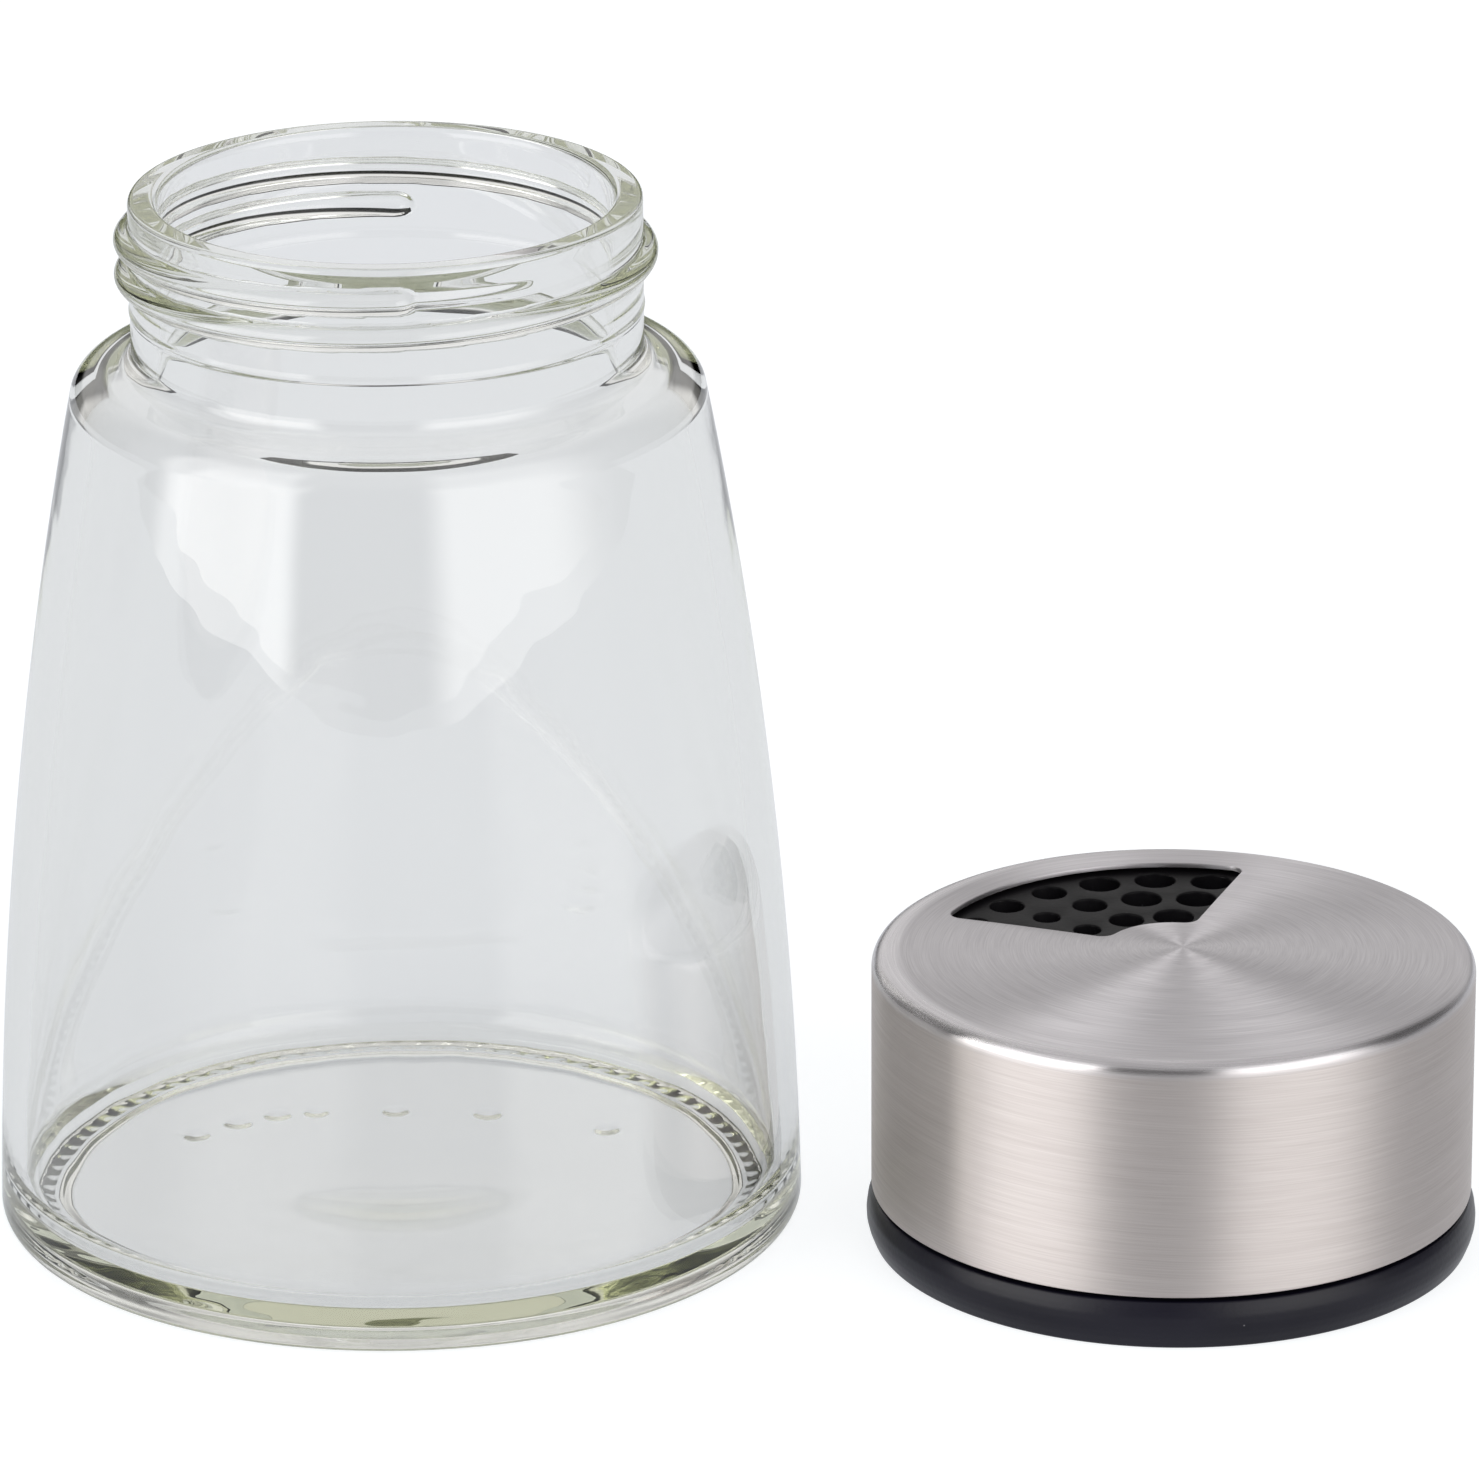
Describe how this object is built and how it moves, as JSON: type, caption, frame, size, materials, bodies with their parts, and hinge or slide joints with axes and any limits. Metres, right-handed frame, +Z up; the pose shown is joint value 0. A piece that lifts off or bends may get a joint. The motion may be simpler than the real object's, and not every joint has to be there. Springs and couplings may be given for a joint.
{
  "type": "table shaker",
  "caption": "Glass shaker jar with a threaded neck and its screw lid standing beside it; the lid's steel cap turns so its window uncovers coarse, medium, fine or no holes.",
  "frame": {"origin": "centre of the jar's base, on the surface that the jar stands on", "axes": "+Z up along the jar's axis; +X towards the lid that stands beside the jar; +Y away from the side that is seen first"},
  "size_m": [0.1174, 0.064, 0.084],
  "materials": {
    "glass": "clear moulded soda-lime glass with a faint green-grey edge",
    "black_plastic": "satin moulded polypropylene",
    "silicone": "soft translucent white",
    "steel": "lathe-brushed top, horizontally brushed skirt"
  },
  "bodies": {
    "jar": {"glass_jar": "glass"},
    "lid_base": {"screw_collar": "black_plastic", "lip_seal": "silicone", "sifter_disc": "black_plastic"},
    "cap": {"cap_shell": "steel", "cap_carrier": "black_plastic"}
  },
  "joints": [
    {"name": "lid_lift", "type": "slide", "parent": "jar", "child": "lid_base", "axis": [0, 0, 1], "range_m": [0, 0.1]},
    {"name": "cap_turn", "type": "hinge", "parent": "lid_base", "child": "cap", "pos_m": [0.06129, -0.00747, 0.012], "axis": [0, 0, 1], "range_deg": [-30, 135]}
  ]
}
